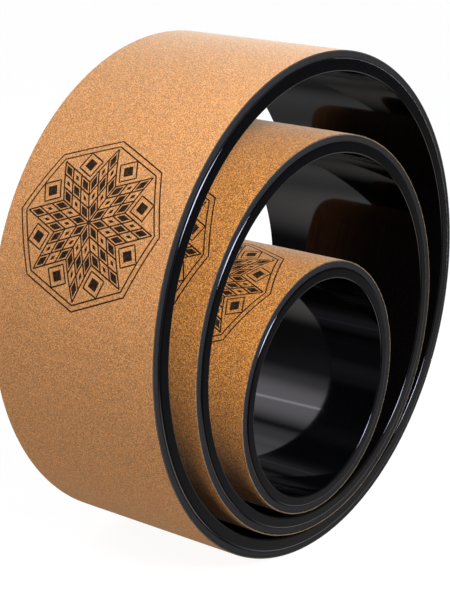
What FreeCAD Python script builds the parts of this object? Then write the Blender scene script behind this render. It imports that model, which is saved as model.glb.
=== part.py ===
import FreeCAD, Part
import math
import os

# Nested set of three cork yoga wheels standing on the rim, the medium wheel lying inside the
# large one and the small wheel inside the medium one.
# Lengths are millimetres and angles are degrees. Each wheel's axis runs along Y, Z is up, the
# front is towards -Y, and the origin is the centre of the large wheel.

# Outside of the large wheel, and the width that the cork and foam strips share
large_radius = 165.0
strip_width = 127.5

# Room between the bore of one wheel and the outside of the next, on the radius
medium_room = 20.1
small_room = 35.0

# Layers wrapped on each core, from the outside in
cork_thickness = 0.8
cork_glue_thickness = 0.2
foam_thickness = 3.4
core_tape_thickness = 0.3

# Wall of each moulded core
large_core_wall = 8.5
medium_core_wall = 7.5
small_core_wall = 7.2

# How far each core's end faces stand out past the ends of the strips
large_core_proud = 1.5
medium_core_proud = 0.6
small_core_proud = 0.4

# Rounded edges of the cores' end faces, on the outside and at the bore
core_outer_edge = 1.6
core_bore_edge = 1.0

# Butt joints of the wrapped strips: the gap between the two ends, and its place on the wheel,
# counted from +X towards -Z
butt_gap = 0.4
cork_joint_angle = 25.0
foam_joint_angle = 55.0

# How the inner wheels lie: clearance over the line that they rest on, how far round the bore
# that line is from its lowest place, towards +X, and how far forward of the large wheel's
# middle their own middles are
resting_gap = 0.3
medium_roll_angle = 10.3
small_roll_angle = 0.8
medium_forward = 2.5
small_forward = 2.1

# Direct results of these sizes
wrap_thickness = cork_thickness + cork_glue_thickness + foam_thickness + core_tape_thickness
large_bore_radius = large_radius - wrap_thickness - large_core_wall
medium_radius = large_bore_radius - medium_room
medium_bore_radius = medium_radius - wrap_thickness - medium_core_wall
small_radius = medium_bore_radius - small_room

FULL_TURN = 360.0
AXIS_POINT = FreeCAD.Vector(0, 0, 0)
AXIS = FreeCAD.Vector(0, 1, 0)


def section_point(radius, along):
    """Point of a ring's section, at a radius and a place along the axis."""
    return FreeCAD.Vector(radius, along, 0)


def turned(wire, start_angle, sweep_angle):
    """Solid made by turning a closed section about the wheel's axis."""
    face = Part.Face(wire)
    face.rotate(AXIS_POINT, AXIS, start_angle)
    solid = face.revolve(AXIS_POINT, AXIS, sweep_angle)
    if solid.Volume < 0:
        solid.reverse()
    return solid


def core_section(bore_radius, outer_radius, half_width):
    """Section of a core: a rectangle whose corners are rounded by arcs."""
    corners = [
        (bore_radius, -half_width, 1, 1, core_bore_edge),
        (outer_radius, -half_width, -1, 1, core_outer_edge),
        (outer_radius, half_width, -1, -1, core_outer_edge),
        (bore_radius, half_width, 1, -1, core_bore_edge),
    ]
    arcs = []
    for radius, along, inward, towards_middle, edge in corners:
        middle_inset = edge * (1 - math.sqrt(0.5))
        on_wall = section_point(radius, along + towards_middle * edge)
        on_end = section_point(radius + inward * edge, along)
        middle = section_point(radius + inward * middle_inset, along + towards_middle * middle_inset)
        ends = (on_wall, on_end) if inward == towards_middle else (on_end, on_wall)
        arcs.append(Part.Arc(ends[0], middle, ends[1]))
    edges = []
    for arc, following in zip(arcs, arcs[1:] + arcs[:1]):
        edges.append(arc.toShape())
        edges.append(Part.LineSegment(arc.EndPoint, following.StartPoint).toShape())
    return Part.Wire(edges)


def strip_ring(inner_radius, outer_radius, joint_angle):
    """Strip wrapped once round the wheel, its two ends meeting in a butt joint."""
    half_width = strip_width / 2
    corners = [
        section_point(inner_radius, -half_width),
        section_point(outer_radius, -half_width),
        section_point(outer_radius, half_width),
        section_point(inner_radius, half_width),
    ]
    wire = Part.makePolygon(corners + corners[:1])
    gap_angle = math.degrees(butt_gap / outer_radius)
    return turned(wire, joint_angle + gap_angle / 2, FULL_TURN - gap_angle)


def wheel_pieces(outer_radius, core_wall, core_proud):
    """The pieces of one wheel, centred on the origin, by name."""
    cork_inside = outer_radius - cork_thickness
    foam_outside = cork_inside - cork_glue_thickness
    foam_inside = foam_outside - foam_thickness
    core_outside = foam_inside - core_tape_thickness
    core_half_width = strip_width / 2 + core_proud
    section = core_section(core_outside - core_wall, core_outside, core_half_width)
    return {
        "core": turned(section, 0, FULL_TURN),
        "core_tape": strip_ring(core_outside, foam_inside, foam_joint_angle),
        "foam_pad": strip_ring(foam_inside, foam_outside, foam_joint_angle),
        "cork_glue": strip_ring(foam_outside, cork_inside, cork_joint_angle),
        "cork_cover": strip_ring(cork_inside, outer_radius, cork_joint_angle),
    }


def resting_centre(holder_centre, room, roll_angle, forward):
    """Centre of a wheel that lies in the bore of the wheel around it."""
    hang = room - resting_gap
    roll = math.radians(roll_angle)
    across = holder_centre.x + hang * math.sin(roll)
    up = holder_centre.z - hang * math.cos(roll)
    return FreeCAD.Vector(across, -forward, up)


large_centre = FreeCAD.Vector(0, 0, 0)
medium_centre = resting_centre(large_centre, medium_room, medium_roll_angle, medium_forward)
small_centre = resting_centre(medium_centre, small_room, small_roll_angle, small_forward)

wheels = {
    "large": (large_radius, large_core_wall, large_core_proud, large_centre),
    "medium": (medium_radius, medium_core_wall, medium_core_proud, medium_centre),
    "small": (small_radius, small_core_wall, small_core_proud, small_centre),
}

os.makedirs("parts", exist_ok=True)
for wheel_name, (radius, core_wall, core_proud, centre) in wheels.items():
    for piece_name, piece in wheel_pieces(radius, core_wall, core_proud).items():
        piece.translate(centre)
        piece.exportStep(f"parts/{wheel_name}_{piece_name}.step")
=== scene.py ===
"""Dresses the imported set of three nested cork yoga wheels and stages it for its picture."""
import logging
import math
from collections.abc import Mapping, Sequence
from dataclasses import dataclass, field
from enum import Enum
from functools import cached_property

import bpy
import numpy as np
from mathutils import Matrix, Vector


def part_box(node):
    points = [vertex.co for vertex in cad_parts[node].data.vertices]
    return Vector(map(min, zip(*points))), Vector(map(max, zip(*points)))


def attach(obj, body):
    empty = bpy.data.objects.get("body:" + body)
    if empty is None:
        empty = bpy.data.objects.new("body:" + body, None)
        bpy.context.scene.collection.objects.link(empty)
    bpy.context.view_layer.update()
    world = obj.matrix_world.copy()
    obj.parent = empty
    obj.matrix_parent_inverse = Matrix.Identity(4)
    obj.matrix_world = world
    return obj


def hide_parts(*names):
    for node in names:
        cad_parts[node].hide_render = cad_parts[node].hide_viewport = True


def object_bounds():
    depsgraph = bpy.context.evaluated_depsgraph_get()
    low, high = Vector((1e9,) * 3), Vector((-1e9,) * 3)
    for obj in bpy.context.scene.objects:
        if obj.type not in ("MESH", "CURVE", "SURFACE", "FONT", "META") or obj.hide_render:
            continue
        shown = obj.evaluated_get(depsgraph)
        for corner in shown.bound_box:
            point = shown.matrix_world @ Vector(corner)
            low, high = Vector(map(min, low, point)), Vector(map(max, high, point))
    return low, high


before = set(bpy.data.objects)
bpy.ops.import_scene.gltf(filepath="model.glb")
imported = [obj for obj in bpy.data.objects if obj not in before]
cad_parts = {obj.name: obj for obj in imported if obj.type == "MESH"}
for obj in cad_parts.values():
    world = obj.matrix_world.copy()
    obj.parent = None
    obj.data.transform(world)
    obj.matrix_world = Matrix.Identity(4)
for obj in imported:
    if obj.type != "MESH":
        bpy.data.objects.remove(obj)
CAD_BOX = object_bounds()

LOG = logging.getLogger("yoga_wheels")
MM = 0.001
NOISE_MIDDLE = 0.5
# How far a piece's large faces govern its shading, in the modifier's own scale from 1 to 100
LARGE_FACE_WEIGHT = 100

Light = tuple[float, float, float]
Colour = tuple[float, float, float, float]
Socket = bpy.types.NodeSocket
Material = bpy.types.Material
Feed = Socket | Material | Vector | float | tuple[float, ...]

NEUTRAL: Light = (1.0, 1.0, 1.0)
COOL: Light = (0.91, 1.0, 1.19)
WARM: Light = (1.03, 0.965, 0.84)


class Slot(Enum):
    """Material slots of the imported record."""

    CORE = "core"
    TAPE = "tape"
    FOAM = "foam"
    GLUE = "glue"
    CORK = "cork"
    INK = "ink"


class Layer(Enum):
    """Layers of a wheel, from the bore outwards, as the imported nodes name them."""

    CORE = "core"
    TAPE = "core_tape"
    FOAM = "foam_pad"
    GLUE = "cork_glue"
    CORK = "cork_cover"


class Polish(Enum):
    """How a face of the moulded core came out of its mould."""

    BRIGHT = "bright"
    SATIN = "satin"


class CorkCut(Enum):
    """How a face of the cork was cut."""

    SANDED = "sanded"
    SLICED = "sliced"


class CorkPaintedLight(Enum):
    """Painted light on a wheel's cork: the outer wheel's cork is painted paler and yellower as if
    lit, the nested wheels' cork deeper, more saturated and more contrasty as painted shade of the
    nest.
    """

    PAINTED_LIT = "pale"
    PAINTED_NEST_SHADE = "painted_nest_shade"


class NodeBoard:
    """A node tree that the script wires up, for geometry, materials and the room alike."""

    # Places of the colour sockets on a Mix node, which has sockets for other kinds of value too
    MIX_SHARE = 0
    MIX_FIRST = 6
    MIX_SECOND = 7
    MIX_RESULT = 2

    def __init__(self, tree: bpy.types.NodeTree) -> None:
        """Works on the given tree."""
        self.tree = tree

    def plug(self, node: bpy.types.Node, key: str | int, feed: Feed) -> None:
        """Links another node's output to an input, or sets the input's own value.

        Args:
            node: The node that is fed.
            key: Name or position of its input.
            feed: What the input gets.
        """
        if isinstance(feed, Socket):
            self.tree.links.new(feed, node.inputs[key])
        else:
            node.inputs[key].default_value = feed

    def add(
        self, kind: str, feeds: Mapping[str | int, Feed] | None = None, **options: str | bool
    ) -> bpy.types.Node:
        """Adds one node.

        Args:
            kind: Blender's name for the type of node.
            feeds: A value, or another node's output, for each input by name or position.
            **options: Settings of the node itself, such as its mode.

        Returns:
            The new node.
        """
        node = self.tree.nodes.new(kind)
        for option, choice in options.items():
            setattr(node, option, choice)
        for key, feed in (feeds or {}).items():
            self.plug(node, key, feed)
        return node

    def out(
        self, kind: str, feeds: Mapping[str | int, Feed] | None = None, **options: str | bool
    ) -> Socket:
        """Adds one node, as add does, and returns its first output."""
        return self.add(kind, feeds, **options).outputs[0]

    def math(self, operation: str, first: Feed, second: Feed = 0.0) -> Socket:
        """Returns the result of one sum on two numbers."""
        return self.out("ShaderNodeMath", {0: first, 1: second}, operation=operation)

    def vector(self, x: Feed, y: Feed, z: Feed) -> Socket:
        """Returns a vector put together from three numbers."""
        return self.out("ShaderNodeCombineXYZ", {"X": x, "Y": y, "Z": z})

    def split(self, vector: Feed) -> bpy.types.bpy_prop_collection:
        """Returns the three numbers of a vector."""
        return self.add("ShaderNodeSeparateXYZ", {0: vector}).outputs

    def blend(self, share: Feed, first: Feed, second: Feed, way: str = "MIX") -> Socket:
        """Mixes two colours.

        Args:
            share: How much of the second colour is taken.
            first: The colour that is changed.
            second: The colour that is brought in.
            way: Blender's name for the way of mixing.

        Returns:
            The mixed colour.
        """
        feeds = {self.MIX_SHARE: share, self.MIX_FIRST: first, self.MIX_SECOND: second}
        node = self.add("ShaderNodeMix", feeds, data_type="RGBA", blend_type=way)
        return node.outputs[self.MIX_RESULT]


class GeometryBoard(NodeBoard):
    """A geometry tree whose sizes and finishes are named inputs."""

    # How squarely a face looks along the axis to count as an end, on a core and on a cut strip
    END_LEAN = 0.98
    CUT_LEAN = 0.40

    def __init__(self, name: str) -> None:
        """Starts a tree that has an output and no inputs yet.

        Args:
            name: What the tree makes.
        """
        super().__init__(bpy.data.node_groups.new(name, "GeometryNodeTree"))
        self.tree.interface.new_socket("Mesh", in_out="OUTPUT", socket_type="NodeSocketGeometry")
        self.entry = self.add("NodeGroupInput")
        self.exit = self.add("NodeGroupOutput")

    def intake(self, name: str, kind: str = "Float") -> Socket:
        """Adds a named input.

        Args:
            name: What the input sets.
            kind: Float, Int, Vector or Material.

        Returns:
            The socket that carries the input into the tree.
        """
        self.tree.interface.new_socket(name, in_out="INPUT", socket_type="NodeSocket" + kind)
        return self.entry.outputs[name]

    def close(
        self,
        geometry: Socket,
        finish: Feed,
        end_finish: Feed | None = None,
        lean: float = END_LEAN,
    ) -> Socket:
        """Makes instances real, shades the faces smooth and gives them their finishes.

        Args:
            geometry: The piece, with its axis along Y.
            finish: Finish of the piece.
            end_finish: Finish of the faces that look along the axis, where they differ.
            lean: How squarely a face has to look along the axis to count as an end.

        Returns:
            The dressed piece.
        """
        real = self.out("GeometryNodeRealizeInstances", {"Geometry": geometry})
        smooth = self.out("GeometryNodeSetShadeSmooth", {"Geometry": real})
        dressed = self.out("GeometryNodeSetMaterial", {"Geometry": smooth, "Material": finish})
        if end_finish is None:
            return dressed
        along = self.split(self.out("GeometryNodeInputNormal"))["Y"]
        is_end = self.math("GREATER_THAN", self.math("ABSOLUTE", along), lean)
        end_feeds = {"Geometry": dressed, "Selection": is_end, "Material": end_finish}
        return self.out("GeometryNodeSetMaterial", end_feeds)

    def deliver(self, geometry: Socket) -> bpy.types.NodeTree:
        """Links the finished mesh to the output and returns the tree."""
        self.tree.links.new(geometry, self.exit.inputs[0])
        return self.tree

    def section(
        self,
        inner: Feed,
        outer: Feed,
        half_width: Feed,
        inner_edge: Feed,
        outer_edge: Feed,
        steps: Feed,
    ) -> Socket:
        """Draws a ring's section: a rectangle whose corners are rounded.

        Args:
            inner: Inner radius of the ring.
            outer: Outer radius of the ring.
            half_width: Half of the ring's width along its axis.
            inner_edge: Rounding of the two corners on the inner radius.
            outer_edge: Rounding of the two corners on the outer radius.
            steps: Number of facets in each rounding.

        Returns:
            The closed section, with its middle at the origin.
        """
        wall = self.math("SUBTRACT", outer, inner)
        width = self.math("MULTIPLY", half_width, 2.0)
        sheet = self.out("GeometryNodeCurvePrimitiveQuadrilateral", {"Width": wall, "Height": width})
        across = self.split(self.out("GeometryNodeInputPosition"))["X"]
        is_outer = self.math("GREATER_THAN", across, 0.0)
        extra = self.math("SUBTRACT", outer_edge, inner_edge)
        radius = self.math("ADD", inner_edge, self.math("MULTIPLY", extra, is_outer))
        feeds = {"Curve": sheet, "Count": steps, "Radius": radius, "Limit Radius": True}
        return self.out("GeometryNodeFilletCurve", feeds, mode="POLY")

    def middle_radius(self, inner: Feed, outer: Feed) -> Socket:
        """Returns the radius halfway through a ring's wall."""
        return self.math("MULTIPLY", self.math("ADD", inner, outer), 0.5)

    def upright(self, geometry: Socket, centre: Feed) -> Socket:
        """Turns a ring's axis from Z to Y and moves the ring to its centre."""
        feeds = {"Geometry": geometry, "Translation": centre, "Rotation": (math.pi / 2, 0.0, 0.0)}
        return self.out("GeometryNodeTransform", feeds)


def core_tree() -> bpy.types.NodeTree:
    """Builds the tree that turns a moulded core: a closed ring with rounded edges.

    Returns:
        The tree, with bright walls and edges and satin end faces.
    """
    board = GeometryBoard("turned_core")
    inner, outer = board.intake("Bore Radius"), board.intake("Outer Radius")
    half_width = board.intake("Half Width")
    bore_edge, outer_edge = board.intake("Bore Edge"), board.intake("Outer Edge")
    segments, steps = board.intake("Segments", "Int"), board.intake("Edge Steps", "Int")
    centre = board.intake("Centre", "Vector")
    wall_finish = board.intake("Wall Finish", "Material")
    end_finish = board.intake("End Finish", "Material")
    section = board.section(inner, outer, half_width, bore_edge, outer_edge, steps)
    path_feeds = {"Resolution": segments, "Radius": board.middle_radius(inner, outer)}
    path = board.out("GeometryNodeCurvePrimitiveCircle", path_feeds, mode="RADIUS")
    ring = board.out("GeometryNodeCurveToMesh", {"Curve": path, "Profile Curve": section})
    return board.deliver(board.close(board.upright(ring, centre), wall_finish, end_finish))


def strip_tree() -> bpy.types.NodeTree:
    """Builds the tree that wraps a strip once round a wheel, its ends meeting in a butt joint.

    Returns:
        The tree. Its cut edges wander a little along the axis, from a fixed seed.
    """
    board = GeometryBoard("wrapped_strip")
    inner, outer = board.intake("Inner Radius"), board.intake("Outer Radius")
    half_width = board.intake("Half Width")
    inner_edge, outer_edge = board.intake("Inner Edge"), board.intake("Outer Edge")
    joint, gap = board.intake("Joint Angle"), board.intake("Joint Gap")
    wander, grain = board.intake("Edge Wander"), board.intake("Edge Grain")
    seed = board.intake("Seed")
    segments, steps = board.intake("Segments", "Int"), board.intake("Edge Steps", "Int")
    centre = board.intake("Centre", "Vector")
    finish = board.intake("Finish", "Material")
    end_finish = board.intake("End Finish", "Material")
    section = board.section(inner, outer, half_width, inner_edge, outer_edge, steps)
    path_feeds = {
        "Resolution": segments,
        "Radius": board.middle_radius(inner, outer),
        "Start Angle": board.math("ADD", joint, board.math("MULTIPLY", gap, 0.5)),
        "Sweep Angle": board.math("SUBTRACT", math.tau, gap),
    }
    path = board.out("GeometryNodeCurveArc", path_feeds, mode="RADIUS")
    strip_feeds = {"Curve": path, "Profile Curve": section, "Fill Caps": True}
    strip = board.out("GeometryNodeCurveToMesh", strip_feeds)
    side = board.math("SIGN", board.split(board.out("GeometryNodeInputPosition"))["Z"])
    noise_feeds = {"W": seed, "Scale": board.math("DIVIDE", 1.0, grain)}
    noise = board.out("ShaderNodeTexNoise", noise_feeds, noise_dimensions="4D")
    shift = board.math("MULTIPLY", board.math("SUBTRACT", noise, NOISE_MIDDLE), wander)
    offset = board.vector(0.0, 0.0, board.math("MULTIPLY", shift, side))
    cut = board.out("GeometryNodeSetPosition", {"Geometry": strip, "Offset": offset})
    standing = board.upright(cut, centre)
    return board.deliver(board.close(standing, finish, end_finish, board.CUT_LEAN))


class LozengeStarBoard(GeometryBoard):
    """The tree of the printed star: eight arms of small lozenges in an eight-sided frame.

    The figure is drawn flat at unit reach, with X along the wheel's axis and Y round its rim,
    and is then scaled and bent round the wheel. An arm has an odd number of cells to a side, so
    that its wide and narrow lozenges take turns in the order in which the cells are counted.
    """

    ARMS = 8
    CELLS = 3
    CORNERS = 4
    # Shares of a cell
    WIDE_FILL = 0.62
    NARROW_FILL = 0.30
    # Shares of the star's reach
    SQUARE_PLACE = 0.786
    SQUARE_SHARE = 0.17
    SQUARE_FILL = 0.09
    FRAME_SHARES = (1.04, 1.12)
    # How often lines and tiles are divided, to bend round the wheel
    ARM_CUTS = 15
    SQUARE_CUTS = 7
    FRAME_CUTS = 23
    FILL_LEVEL = 2

    def __init__(self) -> None:
        """Starts the tree and its inputs."""
        super().__init__("printed_star")
        self.wheel_radius = self.intake("Wheel Radius")
        self.angle = self.intake("Print Angle")
        self.reach = self.intake("Star Reach")
        self.line_width = self.intake("Line Width")
        self.ink_depth = self.intake("Ink Depth")
        self.lap = self.intake("Stroke Lap")
        self.centre = self.intake("Centre", "Vector")
        self.finish = self.intake("Finish", "Material")

    def joined(self, shapes: Sequence[Socket]) -> Socket:
        """Joins shapes into one and makes their copies real.

        Args:
            shapes: The shapes to join.

        Returns:
            The joined shape.
        """
        join = self.add("GeometryNodeJoinGeometry")
        for shape in shapes:
            self.tree.links.new(shape, join.inputs[0])
        return self.out("GeometryNodeRealizeInstances", {"Geometry": join.outputs[0]})

    def moved(self, shape: Socket, **feeds: Feed) -> Socket:
        """Moves, turns or scales a shape."""
        return self.out("GeometryNodeTransform", {"Geometry": shape, **feeds})

    def spun(self, shape: Socket, turn: float = 0.0) -> Socket:
        """Repeats a shape for each arm, round the middle of the print.

        Args:
            shape: The shape to repeat.
            turn: How far the first copy is turned, in radians.

        Returns:
            The copies, each lapping a little over the one before it.
        """
        step = self.vector(0.0, 0.0, self.lap)
        points = self.out("GeometryNodeMeshLine", {"Count": self.ARMS, "Offset": step})
        index = self.out("GeometryNodeInputIndex")
        spin = self.math("ADD", self.math("MULTIPLY", index, math.tau / self.ARMS), turn)
        feeds = {"Points": points, "Instance": shape, "Rotation": self.vector(0.0, 0.0, spin)}
        return self.out("GeometryNodeInstanceOnPoints", feeds)

    def cut(self, curve: Socket, cuts: int) -> Socket:
        """Divides each straight run of a curve, so that it can bend round the wheel."""
        return self.out("GeometryNodeSubdivideCurve", {"Curve": curve, "Cuts": cuts})

    def polygon(self, sides: int, share: float, cuts: int) -> Socket:
        """Draws a regular polygon about the middle of the print.

        Args:
            sides: Number of its sides.
            share: Distance of its corners from the middle, as a share of the star's reach.
            cuts: Number of cuts in each side.

        Returns:
            The closed outline.
        """
        feeds = {"Resolution": sides, "Radius": share}
        ring = self.out("GeometryNodeCurvePrimitiveCircle", feeds, mode="RADIUS")
        return self.cut(ring, cuts)

    def tile(self, corner: float) -> Socket:
        """Makes a thin square tile of ink.

        Args:
            corner: Distance of its corners from its middle, as a share of the star's reach.

        Returns:
            The tile, divided so that it can bend round the wheel.
        """
        prism_feeds = {"Vertices": self.CORNERS, "Radius": corner, "Depth": self.ink_depth}
        prism = self.add("GeometryNodeMeshCylinder", prism_feeds).outputs["Mesh"]
        return self.out("GeometryNodeSubdivideMesh", {"Mesh": prism, "Level": self.FILL_LEVEL})

    def ruled(self, end: Feed, step: Feed, lift: Feed) -> Socket:
        """Draws the parallel lines of a cell pattern.

        Args:
            end: Where the first line ends; it starts at the corner of the pattern.
            step: The way from one line to the next.
            lift: How far the lines lie above the pattern's plane.

        Returns:
            The lines.
        """
        line = self.out("GeometryNodeCurvePrimitiveLine", {"Start": (0.0, 0.0, 0.0), "End": end})
        start = self.vector(0.0, 0.0, lift)
        row_feeds = {"Count": self.CELLS + 1, "Start Location": start, "Offset": step}
        row = self.out("GeometryNodeMeshLine", row_feeds)
        return self.out("GeometryNodeInstanceOnPoints", {"Points": row, "Instance": line})

    def slanted(self, shape: Socket) -> Socket:
        """Presses the unit square, standing on its corner, into the long lozenge of one arm.

        Args:
            shape: What is drawn on the unit square.

        Returns:
            The same on the lozenge, whose tip is at the star's reach.
        """
        on_corner = self.moved(shape, Rotation=(0.0, 0.0, -math.pi / 4))
        long_way = math.sqrt(0.5)
        short_way = long_way * math.tan(math.pi / self.ARMS)
        return self.moved(on_corner, Scale=(long_way, short_way, 1.0))

    def arm_lines(self) -> Socket:
        """Draws the outlines of the lozenges in every arm.

        Returns:
            The outlines, as curves.
        """
        pitch = 1.0 / self.CELLS
        lift = self.math("MULTIPLY", self.lap, 0.5)
        rising = self.ruled((0.0, 1.0, 0.0), (pitch, 0.0, 0.0), 0.0)
        crossing = self.ruled((1.0, 0.0, 0.0), (0.0, pitch, 0.0), lift)
        lines = self.cut(self.joined([rising, crossing]), self.ARM_CUTS)
        return self.spun(self.slanted(lines))

    def arm_fills(self) -> Socket:
        """Fills the lozenges of every arm, wide and narrow by turns.

        Returns:
            The tiles of ink.
        """
        pitch = 1.0 / self.CELLS
        span = 1.0 - pitch
        grid_feeds = {
            "Size X": span,
            "Size Y": span,
            "Vertices X": self.CELLS,
            "Vertices Y": self.CELLS,
        }
        points = self.add("GeometryNodeMeshGrid", grid_feeds).outputs["Mesh"]
        is_narrow = self.math("MODULO", self.out("GeometryNodeInputIndex"), 2.0)
        change = self.math("MULTIPLY", is_narrow, self.NARROW_FILL - self.WIDE_FILL)
        fill = self.math("ADD", change, self.WIDE_FILL)
        feeds = {
            "Points": points,
            "Instance": self.tile(pitch * math.sqrt(0.5)),
            "Rotation": (0.0, 0.0, math.pi / 4),
            "Scale": self.vector(fill, fill, 1.0),
        }
        tiles = self.out("GeometryNodeInstanceOnPoints", feeds)
        cornered = self.moved(self.joined([tiles]), Translation=(0.5, 0.5, 0.0))
        return self.spun(self.slanted(cornered))

    def beside_arms(self, shape: Socket) -> Socket:
        """Puts a shape between each two arms."""
        placed = self.moved(shape, Translation=(self.SQUARE_PLACE, 0.0, 0.0))
        return self.spun(placed, math.pi / self.ARMS)

    def scaled(self, shapes: Sequence[Socket]) -> Socket:
        """Brings shapes from unit reach to their real size."""
        return self.moved(self.joined(shapes), Scale=self.vector(self.reach, self.reach, 1.0))

    def inked(self, curves: Socket) -> Socket:
        """Draws flat strokes of ink along curves.

        Args:
            curves: The curves to follow.

        Returns:
            The strokes.
        """
        level = self.out("GeometryNodeSetCurveNormal", {"Curve": curves}, mode="Z_UP")
        nib_feeds = {"Width": self.line_width, "Height": self.ink_depth}
        nib = self.out("GeometryNodeCurvePrimitiveQuadrilateral", nib_feeds)
        feeds = {"Curve": level, "Profile Curve": nib, "Fill Caps": True}
        return self.out("GeometryNodeCurveToMesh", feeds)

    def wrapped(self, ink: Socket) -> Socket:
        """Bends the flat ink round the wheel: X runs along its axis and Y round its rim.

        Args:
            ink: The flat figure.

        Returns:
            The figure on the wheel's cork.
        """
        flat = self.split(self.out("GeometryNodeInputPosition"))
        turn = self.math("ADD", self.angle, self.math("DIVIDE", flat["Y"], self.wheel_radius))
        radius = self.math("ADD", self.wheel_radius, flat["Z"])
        across = self.math("MULTIPLY", radius, self.math("COSINE", turn))
        up = self.math("MULTIPLY", radius, self.math("SINE", turn))
        bent = self.vector(across, flat["X"], up)
        place = self.out("ShaderNodeVectorMath", {0: bent, 1: self.centre}, operation="ADD")
        return self.out("GeometryNodeSetPosition", {"Geometry": ink, "Position": place})

    def build(self) -> bpy.types.NodeTree:
        """Draws the figure, inks it and wraps it.

        Returns:
            The finished tree.
        """
        square = self.polygon(self.CORNERS, self.SQUARE_SHARE, self.SQUARE_CUTS)
        outlines = [self.arm_lines(), self.beside_arms(square)]
        outlines += [self.polygon(self.ARMS, share, self.FRAME_CUTS) for share in self.FRAME_SHARES]
        fills = [self.arm_fills(), self.beside_arms(self.tile(self.SQUARE_FILL))]
        ink = self.joined([self.inked(self.scaled(outlines)), self.scaled(fills)])
        return self.deliver(self.close(self.wrapped(ink), self.finish))


def run_tree(name: str, tree: bpy.types.NodeTree, values: Mapping[str, Feed]) -> bpy.types.Object:
    """Runs a geometry tree once and keeps its result as a plain mesh at the origin.

    Args:
        name: Name of the finished piece.
        tree: The tree to run.
        values: A value for each named input of the tree.

    Returns:
        The finished piece, with no modifier left on it.
    """
    piece = bpy.data.objects.new(name, bpy.data.meshes.new(name + "_seed"))
    bpy.context.scene.collection.objects.link(piece)
    maker = piece.modifiers.new("build", "NODES")
    maker.node_group = tree
    for item in tree.interface.items_tree:
        if item.in_out == "INPUT":
            maker[item.identifier] = values[item.name]
    piece.modifiers.new("even_shading", "WEIGHTED_NORMAL").weight = LARGE_FACE_WEIGHT
    graph = bpy.context.evaluated_depsgraph_get()
    mesh = bpy.data.meshes.new_from_object(piece.evaluated_get(graph), depsgraph=graph)
    mesh.name = name
    piece.modifiers.clear()
    piece.data = mesh
    return piece


class ShaderBoard(NodeBoard):
    """The node tree of one material, which ends in one Principled shader."""

    def __init__(self, name: str) -> None:
        """Starts a material whose patterns are laid out in Object coordinates.

        Args:
            name: Name of the material.
        """
        self.material = bpy.data.materials.new(name)
        self.material.use_nodes = True
        super().__init__(self.material.node_tree)
        self.tree.nodes.clear()
        self.surface = self.add("ShaderNodeBsdfPrincipled")
        self.add("ShaderNodeOutputMaterial", {"Surface": self.surface.outputs[0]})
        self.place = self.add("ShaderNodeTexCoord").outputs["Object"]

    def noise(self, size: float, detail: float = 2.0) -> Socket:
        """Returns soft random values in patches of about this size."""
        feeds = {"Vector": self.place, "Scale": 1.0 / size, "Detail": detail}
        return self.out("ShaderNodeTexNoise", feeds)

    def cells(self, size: float) -> bpy.types.bpy_prop_collection:
        """Returns the outputs of a cell pattern whose cells are about this size."""
        feeds = {"Vector": self.place, "Scale": 1.0 / size}
        return self.add("ShaderNodeTexVoronoi", feeds).outputs

    def ramp(self, value: Feed, stops: Sequence[float], colours: Sequence[Colour]) -> Socket:
        """Picks a colour from a row of colour stops.

        Args:
            value: The value that picks the colour.
            stops: Where the stops are, from 0 to 1.
            colours: The colour of each stop.

        Returns:
            The colour picked.
        """
        node = self.add("ShaderNodeValToRGB", {0: value})
        row = node.color_ramp.elements
        while len(row) < len(stops):
            row.new(1.0)
        for element, stop, colour in zip(row, stops, colours):
            element.position = stop
            element.color = colour
        return node.outputs[0]

    def spread(self, value: Feed, low: float, high: float) -> Socket:
        """Returns a value from 0 to 1 stretched over another range."""
        feeds = {"Value": value, "To Min": low, "To Max": high}
        return self.out("ShaderNodeMapRange", feeds)

    def relief(self, height: Feed, depth: float, strength: float) -> None:
        """Roughens the surface by a height pattern of the given depth."""
        feeds = {"Height": height, "Distance": depth, "Strength": strength}
        self.plug(self.surface, "Normal", self.out("ShaderNodeBump", feeds))

    def dress(
        self,
        colour: Feed,
        roughness: Feed,
        gloss: float,
        extras: Mapping[str, Feed] | None = None,
    ) -> Material:
        """Sets the shader's inputs.

        Args:
            colour: Base colour.
            roughness: Roughness.
            gloss: Specular level.
            extras: Values of other inputs of the shader, by name.

        Returns:
            The finished material.
        """
        feeds = {"Base Color": colour, "Roughness": roughness, "Specular IOR Level": gloss}
        for key, feed in {**feeds, **(extras or {})}.items():
            self.plug(self.surface, key, feed)
        return self.material


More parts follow.
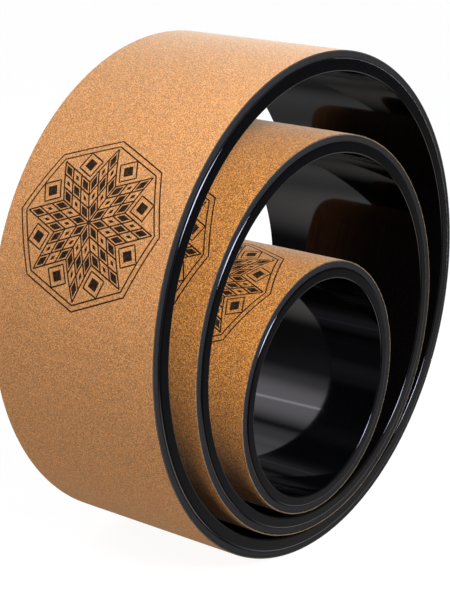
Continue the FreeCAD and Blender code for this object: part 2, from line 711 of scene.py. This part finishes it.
@dataclass(frozen=True)
class CorkFinish:
    """Fine pressed cork: small tan grains, a few darker flecks and broad cloudy toning."""

    # Which painted light the cork gets: painted lit on the outer wheel, painted nest shade on the
    # nested ones
    tone: CorkPaintedLight
    cut: CorkCut
    grain: Mapping[CorkPaintedLight, float] = field(
        default_factory=lambda: {CorkPaintedLight.PAINTED_LIT: 0.50 * MM, CorkPaintedLight.PAINTED_NEST_SHADE: 0.56 * MM}
    )
    dust: float = 0.45 * MM
    fleck: float = 1.1 * MM
    cloud: float = 55.0 * MM
    dark: Colour = (0.140, 0.048, 0.009, 1.0)
    middle: Colour = (0.470, 0.188, 0.043, 1.0)
    pale: Colour = (0.950, 0.430, 0.130, 1.0)
    bark: Colour = (0.170, 0.055, 0.012, 1.0)
    # The sanded tints carry painted light: paler and yellower on the outer wheel, deeper and more
    # saturated on the nested wheels as painted shade of the nest. The cut ends are painted much
    # darker and cooler than the faces.
    tint_and_painted_light: Mapping[tuple[CorkPaintedLight, CorkCut], Colour] = field(
        default_factory=lambda: {
            (CorkPaintedLight.PAINTED_LIT, CorkCut.SANDED): (1.08, 1.06, 1.06, 1.0),
            (CorkPaintedLight.PAINTED_NEST_SHADE, CorkCut.SANDED): (0.98, 0.81, 0.375, 1.0),
            (CorkPaintedLight.PAINTED_LIT, CorkCut.SLICED): (0.06, 0.09, 0.16, 1.0),
            (CorkPaintedLight.PAINTED_NEST_SHADE, CorkCut.SLICED): (0.26, 0.36, 0.52, 1.0),
        }
    )
    # The higher contrast of the nested wheels' grain is part of their painted shade
    contrast: Mapping[CorkPaintedLight, float] = field(
        default_factory=lambda: {CorkPaintedLight.PAINTED_LIT: 1.1, CorkPaintedLight.PAINTED_NEST_SHADE: 1.45}
    )
    chance_share: Mapping[CorkPaintedLight, float] = field(
        default_factory=lambda: {CorkPaintedLight.PAINTED_LIT: 0.75, CorkPaintedLight.PAINTED_NEST_SHADE: 0.85}
    )
    middle_stop: float = 0.5
    dust_stops: tuple[float, float] = (0.3, 0.7)
    dust_share: float = 0.25
    fleck_share: float = 0.7
    fleck_odds: float = 0.10
    fleck_reach: float = 0.36
    cloud_shade: tuple[float, float] = (0.95, 1.05)
    roughness: tuple[float, float] = (0.70, 0.82)
    relief_depth: float = 0.12 * MM
    relief_strength: float = 0.35
    gloss: float = 0.5
    sheen: Mapping[CorkPaintedLight, float] = field(
        default_factory=lambda: {CorkPaintedLight.PAINTED_LIT: 0.34, CorkPaintedLight.PAINTED_NEST_SHADE: 0.28}
    )
    sheen_tint: Colour = (1.0, 0.97, 0.76, 1.0)
    sheen_roughness: float = 0.44

    def material(self) -> Material:
        """Builds the cork in the painted light and cut asked for.

        Returns:
            The material.
        """
        board = ShaderBoard(f"{self.cut.value}_{self.tone.value}_cork")
        grains = board.cells(self.grain[self.tone])
        share = self.chance_share[self.tone]
        chance = board.math("MULTIPLY", board.split(grains["Color"])["X"], share)
        body = board.math("MULTIPLY", board.math("SUBTRACT", 1.0, grains["Distance"]), 1.0 - share)
        tone = board.math("ADD", chance, body)
        reach = self.middle_stop / self.contrast[self.tone]
        stops = (self.middle_stop - reach, self.middle_stop, self.middle_stop + reach)
        base = board.ramp(tone, stops, (self.dark, self.middle, self.pale))
        dust = board.noise(self.dust)
        dusting = board.ramp(dust, self.dust_stops, (self.dark, self.pale))
        dusted = board.blend(self.dust_share, base, dusting)
        flecks = board.cells(self.fleck)
        rare = board.math("LESS_THAN", board.split(flecks["Color"])["Y"], self.fleck_odds)
        small = board.math("LESS_THAN", flecks["Distance"], self.fleck_reach)
        fleck = board.math("MULTIPLY", board.math("MULTIPLY", rare, small), self.fleck_share)
        flecked = board.blend(fleck, dusted, self.bark)
        shade = board.spread(board.noise(self.cloud), *self.cloud_shade)
        grey = board.out("ShaderNodeCombineColor", {0: shade, 1: shade, 2: shade})
        toned = board.blend(1.0, flecked, grey, "MULTIPLY")
        # The tint multiplies in the painted light of the outer wheel, the painted shade of the nest
        # and the darker cut ends
        colour = board.blend(1.0, toned, self.tint_and_painted_light[self.tone, self.cut], "MULTIPLY")
        height = board.math("ADD", grains["Distance"], dust)
        board.relief(height, self.relief_depth, self.relief_strength)
        sheen = {
            "Sheen Weight": self.sheen[self.tone],
            "Sheen Tint": self.sheen_tint,
            "Sheen Roughness": self.sheen_roughness,
        }
        return board.dress(colour, board.spread(tone, *self.roughness), self.gloss, sheen)


@dataclass(frozen=True)
class FoamFinish:
    """Charcoal closed-cell foam with a fine open grain where it is cut."""

    pore: float = 0.55 * MM
    patch: float = 18.0 * MM
    patch_shade: tuple[float, float] = (0.8, 1.2)
    dark: Colour = (0.0058, 0.0051, 0.0049, 1.0)
    light: Colour = (0.0210, 0.0180, 0.0168, 1.0)
    stops: tuple[float, float] = (0.05, 0.55)
    roughness: tuple[float, float] = (0.95, 0.8)
    relief_depth: float = 0.15 * MM
    relief_strength: float = 0.5
    gloss: float = 0.15

    def material(self) -> Material:
        """Builds the foam.

        Returns:
            The material.
        """
        board = ShaderBoard("charcoal_foam")
        pores = board.cells(self.pore)
        patches = board.spread(board.noise(self.patch), *self.patch_shade)
        tone = board.math("MULTIPLY", pores["Distance"], patches)
        colour = board.ramp(tone, self.stops, (self.dark, self.light))
        board.relief(pores["Distance"], self.relief_depth, self.relief_strength)
        return board.dress(colour, board.spread(tone, *self.roughness), self.gloss)


@dataclass(frozen=True)
class MouldedFinish:
    """Black moulded plastic, bright on the walls and satin on the end faces."""

    polish: Polish
    wave: float = 45.0 * MM
    wave_detail: float = 1.0
    scuff: float = 2.5 * MM
    scuff_detail: float = 4.0
    black: Colour = (0.0006, 0.0006, 0.0007, 1.0)
    worn: Colour = (0.0018, 0.0018, 0.0019, 1.0)
    roughness: Mapping[Polish, tuple[float, float]] = field(
        default_factory=lambda: {Polish.BRIGHT: (0.03, 0.08), Polish.SATIN: (0.18, 0.28)}
    )
    gloss: Mapping[Polish, float] = field(
        default_factory=lambda: {Polish.BRIGHT: 0.5, Polish.SATIN: 0.17}
    )
    gleam: Colour = (0.96, 0.91, 1.0, 1.0)
    relief_depth: float = 0.3 * MM
    relief_strength: float = 0.1

    def material(self) -> Material:
        """Builds the plastic in the polish asked for.

        Returns:
            The material.
        """
        board = ShaderBoard("moulded_black_" + self.polish.value)
        waves = board.noise(self.wave, self.wave_detail)
        scuffs = board.noise(self.scuff, self.scuff_detail)
        colour = board.blend(scuffs, self.black, self.worn)
        board.relief(waves, self.relief_depth, self.relief_strength)
        rough = board.spread(scuffs, *self.roughness[self.polish])
        return board.dress(colour, rough, self.gloss[self.polish], {"Specular Tint": self.gleam})


@dataclass(frozen=True)
class InkFinish:
    """Dark ink that has sunk unevenly into the cork's grain."""

    grain: float = 0.7 * MM
    solid: Colour = (0.013, 0.007, 0.004, 1.0)
    thin: Colour = (0.070, 0.032, 0.012, 1.0)
    stops: tuple[float, float] = (0.55, 1.0)
    roughness: tuple[float, float] = (0.65, 0.85)
    relief_depth: float = 0.05 * MM
    relief_strength: float = 0.3
    gloss: float = 0.1

    def material(self) -> Material:
        """Builds the ink.

        Returns:
            The material.
        """
        board = ShaderBoard("printed_ink")
        grains = board.cells(self.grain)
        tone = board.split(grains["Color"])["X"]
        colour = board.ramp(tone, self.stops, (self.solid, self.thin))
        board.relief(grains["Distance"], self.relief_depth, self.relief_strength)
        return board.dress(colour, board.spread(tone, *self.roughness), self.gloss)


@dataclass(frozen=True)
class FilmFinish:
    """A thin bonding film, seen only as a line at the wheel's ends."""

    name: str
    streak: float = 6.0 * MM
    streak_detail: float = 3.0
    dark: Colour = (0.010, 0.010, 0.010, 1.0)
    pale: Colour = (0.030, 0.030, 0.030, 1.0)
    roughness: tuple[float, float] = (0.4, 0.6)
    relief_depth: float = 0.05 * MM
    relief_strength: float = 0.2
    gloss: float = 0.3

    def material(self) -> Material:
        """Builds the film.

        Returns:
            The material.
        """
        board = ShaderBoard(self.name)
        streaks = board.noise(self.streak, self.streak_detail)
        board.relief(streaks, self.relief_depth, self.relief_strength)
        colour = board.blend(streaks, self.dark, self.pale)
        return board.dress(colour, board.spread(streaks, *self.roughness), self.gloss)


@dataclass(frozen=True)
class FloorFinish:
    """A plain white floor, lit from within, with hardly any tooth."""

    tooth: float = 1.5 * MM
    pale: Colour = (0.13, 0.13, 0.13, 1.0)
    dim: Colour = (0.12, 0.12, 0.12, 1.0)
    glow: Colour = (1.0, 1.0, 1.0, 1.0)
    glow_strength: float = 0.93
    roughness: float = 0.9
    gloss: float = 0.0

    def material(self) -> Material:
        """Builds the floor.

        Returns:
            The material.
        """
        board = ShaderBoard("white_floor")
        colour = board.blend(board.noise(self.tooth), self.pale, self.dim)
        glow = {"Emission Color": self.glow, "Emission Strength": self.glow_strength}
        return board.dress(colour, self.roughness, self.gloss, glow)


@dataclass
class Palette:
    """The finishes of the wheels, each built once and shared by all three."""

    cork: Mapping[tuple[CorkPaintedLight, CorkCut], Material] = field(
        default_factory=lambda: {
            (tone, cut): CorkFinish(tone, cut).material() for tone in CorkPaintedLight for cut in CorkCut
        }
    )
    foam: Material = field(default_factory=lambda: FoamFinish().material())
    wall: Material = field(default_factory=lambda: MouldedFinish(Polish.BRIGHT).material())
    end: Material = field(default_factory=lambda: MouldedFinish(Polish.SATIN).material())
    ink: Material = field(default_factory=lambda: InkFinish().material())
    tape: Material = field(default_factory=lambda: FilmFinish("core_tape_film").material())
    glue: Material = field(default_factory=lambda: FilmFinish("cork_glue_film").material())


@dataclass
class Trees:
    """The geometry trees, each built once and run for every wheel."""

    core: bpy.types.NodeTree = field(default_factory=core_tree)
    strip: bpy.types.NodeTree = field(default_factory=strip_tree)
    star: bpy.types.NodeTree = field(default_factory=lambda: LozengeStarBoard().build())


@dataclass(frozen=True)
class Cut:
    """How the edges of a wrapped strip are cut, and how finely it is meshed."""

    inner_edge: float
    outer_edge: float
    wander: float
    grain: float
    segments: int
    steps: int


@dataclass
class Wheel:
    """One wheel of the nest: a moulded core wrapped in foam and cork, with a printed star."""

    palette: Palette
    trees: Trees
    name: str
    print_angle: float
    seed: float
    # Painted light of the cork: painted lit on the outer wheel, painted nest shade on the nested
    # ones
    cork_painted_light: CorkPaintedLight
    bore_edge: float = 1.0 * MM
    outer_edge: float = 1.6 * MM
    core_segments: int = 720
    core_edge_steps: int = 10
    joint_gap: float = 0.4 * MM
    cork_joint_angle: float = -25.0
    foam_joint_angle: float = -55.0
    cork_cut: Cut = Cut(
        inner_edge=0.1 * MM,
        outer_edge=0.25 * MM,
        wander=0.25 * MM,
        grain=1.4 * MM,
        segments=1440,
        steps=3,
    )
    foam_cut: Cut = Cut(
        inner_edge=0.35 * MM,
        outer_edge=0.6 * MM,
        wander=0.15 * MM,
        grain=2.0 * MM,
        segments=1080,
        steps=5,
    )
    film_cut: Cut = Cut(
        inner_edge=0.02 * MM,
        outer_edge=0.02 * MM,
        wander=0.10 * MM,
        grain=3.0 * MM,
        segments=540,
        steps=1,
    )
    foam_fill: float = 1.0
    star_reach: float = 48.0 * MM
    line_width: float = 0.9 * MM
    ink_depth: float = 0.10 * MM
    stroke_lap: float = 0.003 * MM

    @property
    def body(self) -> str:
        """Name of the CAD body that the wheel's pieces ride on."""
        return self.name + "_wheel"

    @cached_property
    def centre(self) -> Vector:
        """Finds the middle of the wheel.

        Returns:
            The middle of a circle fitted to the outside of its cork, halfway along the axis.
        """
        low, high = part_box(self.node(Layer.CORK))
        middle = (low + high) / 2
        spots = np.array([(corner.co.x, corner.co.z) for corner in self.corners(Layer.CORK)])
        reach = np.hypot(*(spots - (middle.x, middle.z)).T)
        outside = spots[reach > (reach.min() + reach.max()) / 2]
        rows = np.column_stack((2 * outside, np.ones(len(outside))))
        across, up, _ = np.linalg.lstsq(rows, (outside**2).sum(axis=1), rcond=None)[0]
        return Vector((across, middle.y, up))

    def node(self, layer: Layer) -> str:
        """Returns the name of the CAD node of a layer."""
        return f"{self.name}_{layer.value}"

    def corners(self, layer: Layer) -> bpy.types.bpy_prop_collection:
        """Returns the mesh corners of a layer's CAD node."""
        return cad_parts[self.node(layer)].data.vertices

    def radii(self, layer: Layer) -> tuple[float, float]:
        """Reads the inner and outer radius of a layer from its CAD node.

        Args:
            layer: The layer to measure.

        Returns:
            The smallest and the largest distance of the node's corners from the axis.
        """
        middle = self.centre
        spots = [corner.co for corner in self.corners(layer)]
        reach = [math.hypot(spot.x - middle.x, spot.z - middle.z) for spot in spots]
        return min(reach), max(reach)

    def half_width(self, layer: Layer) -> float:
        """Returns half of a layer's width along the axis."""
        low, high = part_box(self.node(layer))
        return (high.y - low.y) / 2

    def fit(
        self, piece: bpy.types.Object, layer: Layer | None = None
    ) -> bpy.types.Object:
        """Puts a finished piece on the wheel's body.

        Args:
            piece: The piece.
            layer: The layer whose CAD node it stands for, if it stands for one.

        Returns:
            The same piece.
        """
        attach(piece, self.body)
        if layer is not None:
            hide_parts(self.node(layer))
        LOG.info("%s rides on %s with %d faces", piece.name, self.body, len(piece.data.polygons))
        return piece

    def build_core(self) -> None:
        """Turns the moulded core."""
        bore, outer = self.radii(Layer.CORE)
        values = {
            "Bore Radius": bore,
            "Outer Radius": outer,
            "Half Width": self.half_width(Layer.CORE),
            "Bore Edge": self.bore_edge,
            "Outer Edge": self.outer_edge,
            "Segments": self.core_segments,
            "Edge Steps": self.core_edge_steps,
            "Centre": self.centre,
            "Wall Finish": self.palette.wall,
            "End Finish": self.palette.end,
        }
        piece = run_tree(f"{self.name}_moulded_core", self.trees.core, values)
        self.fit(piece, Layer.CORE)

    def build_strip(
        self,
        name: str,
        layer: Layer,
        cut: Cut,
        joint_angle: float,
        finish: Material,
        end_finish: Material | None = None,
    ) -> bpy.types.Object:
        """Wraps one strip round the wheel.

        Args:
            name: Name of the piece, after the wheel's own name.
            layer: The layer that the strip is.
            cut: How its edges are cut and meshed.
            joint_angle: Where its ends meet, in degrees from +X towards +Z.
            finish: Its material.
            end_finish: The material of its ends along the axis, where it differs.

        Returns:
            The finished strip.
        """
        inner, outer = self.radii(layer)
        values = {
            "Inner Radius": inner,
            "Outer Radius": outer,
            "Half Width": self.half_width(layer),
            "Inner Edge": cut.inner_edge,
            "Outer Edge": cut.outer_edge,
            "Joint Angle": math.radians(joint_angle),
            "Joint Gap": self.joint_gap / outer,
            "Edge Wander": cut.wander,
            "Edge Grain": cut.grain,
            "Seed": self.seed,
            "Segments": cut.segments,
            "Edge Steps": cut.steps,
            "Centre": self.centre,
            "Finish": finish,
            "End Finish": end_finish or finish,
        }
        piece = run_tree(f"{self.name}_{name}", self.trees.strip, values)
        return self.fit(piece, layer)

    def build_wrap(self) -> None:
        """Wraps the tape, the foam, the glue and the cork round the core."""
        foam_at, cork_at, look = self.foam_joint_angle, self.cork_joint_angle, self.palette
        film, foam, cork = self.film_cut, self.foam_cut, self.cork_cut
        self.build_strip("tape_film", Layer.TAPE, film, foam_at, look.tape)
        pad = self.build_strip("foam_wrap", Layer.FOAM, foam, foam_at, look.foam)
        self.build_strip("glue_film", Layer.GLUE, film, cork_at, look.glue)
        face, end = (look.cork[self.cork_painted_light, cut] for cut in (CorkCut.SANDED, CorkCut.SLICED))
        self.build_strip("cork_wrap", Layer.CORK, cork, cork_at, face, end)

    def build_print(self) -> None:
        """Prints the star on the cork."""
        values = {
            "Wheel Radius": self.radii(Layer.CORK)[1],
            "Print Angle": math.radians(self.print_angle),
            "Star Reach": self.star_reach,
            "Line Width": self.line_width,
            "Ink Depth": self.ink_depth,
            "Stroke Lap": self.stroke_lap,
            "Centre": self.centre,
            "Finish": self.palette.ink,
        }
        self.fit(run_tree(f"{self.name}_printed_star", self.trees.star, values))

    def build(self) -> None:
        """Builds and dresses every piece of the wheel."""
        self.build_core()
        self.build_wrap()
        self.build_print()


def view_direction(azimuth: float, elevation: float) -> Vector:
    """Points from the nest to a viewer.

    Args:
        azimuth: Degrees round the nest from its front, the right side being positive.
        elevation: Degrees above the horizon.

    Returns:
        The unit vector towards that viewer.
    """
    turn, rise = math.radians(azimuth), math.radians(elevation)
    level = math.cos(rise)
    return Vector((math.sin(turn) * level, -math.cos(turn) * level, math.sin(rise)))


@dataclass(frozen=True)
class Softbox:
    """A rectangular studio light that faces the nest."""

    name: str
    azimuth: float
    elevation: float
    distance: float
    width: float
    height: float
    watts: float
    colour: Light = NEUTRAL

    def build(self) -> None:
        """Hangs the light and turns it to the middle of the nest."""
        lamp = bpy.data.lights.new(self.name, "AREA")
        lamp.shape = "RECTANGLE"
        lamp.size = self.width
        lamp.size_y = self.height
        lamp.energy = self.watts
        lamp.color = self.colour
        holder = bpy.data.objects.new(self.name, lamp)
        outwards = view_direction(self.azimuth, self.elevation)
        holder.location = outwards * self.distance
        holder.rotation_euler = outwards.to_track_quat("Z", "Y").to_euler()
        holder.visible_camera = False
        bpy.context.scene.collection.objects.link(holder)
        LOG.info("%s stands %.1f m away", self.name, self.distance)


@dataclass(frozen=True)
class Glow:
    """A soft bright patch of the room, even inside its core angle and gone at its rim angle."""

    azimuth: float
    elevation: float
    core: float
    rim: float
    strength: float
    colour: Light = NEUTRAL


class RoomBoard(NodeBoard):
    """The node tree of the room's light: dim walls, soft patches and a white backdrop."""

    def __init__(self, name: str) -> None:
        """Starts a world that has no light yet.

        Args:
            name: Name of the world.
        """
        self.world = bpy.data.worlds.new(name)
        self.world.use_nodes = True
        super().__init__(self.world.node_tree)
        self.tree.nodes.clear()
        self.direction = self.add("ShaderNodeTexCoord").outputs["Generated"]

    def patch(self, glow: Glow) -> Socket:
        """Works out the light of one soft patch.

        Args:
            glow: The patch.

        Returns:
            The coloured light that it adds in each direction.
        """
        aim_feeds = {0: self.direction, 1: view_direction(glow.azimuth, glow.elevation)}
        aim = self.add("ShaderNodeVectorMath", aim_feeds, operation="DOT_PRODUCT")
        feeds = {
            "Value": aim.outputs["Value"],
            "From Min": math.cos(math.radians(glow.rim)),
            "From Max": math.cos(math.radians(glow.core)),
            "To Max": glow.strength,
        }
        amount = self.out("ShaderNodeMapRange", feeds, interpolation_type="SMOOTHSTEP")
        colour_feeds = {0: glow.colour, "Scale": amount}
        return self.out("ShaderNodeVectorMath", colour_feeds, operation="SCALE")

    def build(self, walls: float, glows: Sequence[Glow], backdrop: float) -> bpy.types.World:
        """Wires up the room.

        Args:
            walls: Brightness of the room between its patches.
            glows: The soft bright patches.
            backdrop: Brightness of the room where the camera looks straight at it.

        Returns:
            The finished world.
        """
        light: Feed = (walls, walls, walls)
        for glow in glows:
            feeds = {0: self.patch(glow), 1: light}
            light = self.out("ShaderNodeVectorMath", feeds, operation="ADD")
        seen = self.add("ShaderNodeLightPath").outputs["Is Camera Ray"]
        white = (backdrop, backdrop, backdrop, 1.0)
        colour = self.blend(seen, light, white)
        shine = self.out("ShaderNodeBackground", {"Color": colour})
        self.add("ShaderNodeOutputWorld", {"Surface": shine})
        return self.world


@dataclass(frozen=True)
class Camera:
    """The camera at the picture's viewing angle."""

    azimuth: float = -52.838
    elevation: float = 15.723
    roll: float = -1.716
    distance: float = 1.12815
    target: tuple[float, float, float] = (-0.00688, 0.00606, -0.00648)
    lens: float = 102.087
    sensor: float = 36.0

    def build(self) -> None:
        """Places the camera and makes it the scene's own."""
        eye = bpy.data.cameras.new("picture_camera")
        eye.lens = self.lens
        eye.sensor_width = self.sensor
        holder = bpy.data.objects.new("picture_camera", eye)
        back = view_direction(self.azimuth, self.elevation)
        aim = (-back).to_track_quat("-Z", "Y").to_matrix().to_4x4()
        place = Matrix.Translation(Vector(self.target) + back * self.distance)
        holder.matrix_world = place @ aim @ Matrix.Rotation(math.radians(-self.roll), 4, "Z")
        bpy.context.scene.collection.objects.link(holder)
        bpy.context.scene.camera = holder


@dataclass
class Studio:
    """The white floor, the soft light and the camera."""

    floor_half: float = 8.0
    walls: float = 0.06
    backdrop: float = 1.0
    glows: tuple[Glow, ...] = (
        Glow(azimuth=-165.0, elevation=-62.0, core=20.0, rim=36.0, strength=0.22),
        Glow(azimuth=-80.0, elevation=-66.0, core=20.0, rim=45.0, strength=1.6, colour=WARM),
        Glow(azimuth=-80.0, elevation=12.0, core=15.0, rim=55.0, strength=0.2),
        Glow(azimuth=78.0, elevation=-34.0, core=8.0, rim=32.0, strength=0.65),
        Glow(azimuth=138.0, elevation=40.0, core=15.0, rim=34.0, strength=0.8),
        Glow(azimuth=128.0, elevation=18.0, core=6.0, rim=26.0, strength=2.2),
        Glow(azimuth=-133.0, elevation=39.0, core=0.0, rim=23.0, strength=1.5),
        Glow(azimuth=-128.0, elevation=30.0, core=0.0, rim=26.0, strength=0.7),
        Glow(azimuth=-178.0, elevation=57.0, core=1.0, rim=13.0, strength=0.6),
        Glow(azimuth=0.0, elevation=90.0, core=22.0, rim=32.0, strength=0.4),
    )
    softboxes: tuple[Softbox, ...] = (
        Softbox(
            name="key_softbox",
            azimuth=-24.5,
            elevation=33.0,
            distance=1.1,
            width=0.48,
            height=0.48,
            watts=20.2,
            colour=COOL,
        ),
        Softbox(
            name="side_tube",
            azimuth=92.0,
            elevation=12.0,
            distance=1.5,
            width=0.12,
            height=1.4,
            watts=1.9,
        ),
        Softbox(
            name="back_tube",
            azimuth=-130.0,
            elevation=35.0,
            distance=1.5,
            width=0.9,
            height=0.05,
            watts=0.35,
        ),
    )

    def build_floor(self) -> None:
        """Lays the floor under the large wheel; it shows itself and shadows, and lights nothing."""
        level = CAD_BOX[0].z
        half = self.floor_half
        corners = [
            (-half, -half, level),
            (half, -half, level),
            (half, half, level),
            (-half, half, level),
        ]
        mesh = bpy.data.meshes.new("studio_floor")
        mesh.from_pydata(corners, [], [(0, 1, 2, 3)])
        mesh.materials.append(FloorFinish().material())
        floor = bpy.data.objects.new("studio_floor", mesh)
        floor.visible_diffuse = False
        floor.visible_glossy = False
        bpy.context.scene.collection.objects.link(floor)

    def build(self) -> None:
        """Sets up the whole studio."""
        scene = bpy.context.scene
        scene.view_settings.view_transform = "Standard"
        self.build_floor()
        scene.world = RoomBoard("studio_room").build(self.walls, self.glows, self.backdrop)
        for softbox in self.softboxes:
            softbox.build()
        Camera().build()


def main() -> None:
    """Builds the three wheels and the studio, in order."""
    logging.basicConfig(level=logging.INFO, format="%(name)s: %(message)s")
    palette, trees = Palette(), Trees()
    wheels = (
        Wheel(palette, trees, name="large", print_angle=154.5, seed=1.0, cork_painted_light=CorkPaintedLight.PAINTED_LIT),
        Wheel(palette, trees, name="medium", print_angle=146.5, seed=2.0, cork_painted_light=CorkPaintedLight.PAINTED_NEST_SHADE),
        Wheel(palette, trees, name="small", print_angle=123.0, seed=3.0, cork_painted_light=CorkPaintedLight.PAINTED_NEST_SHADE),
    )
    for wheel in wheels:
        wheel.build()
    Studio().build()


if __name__ == "__main__":
    main()
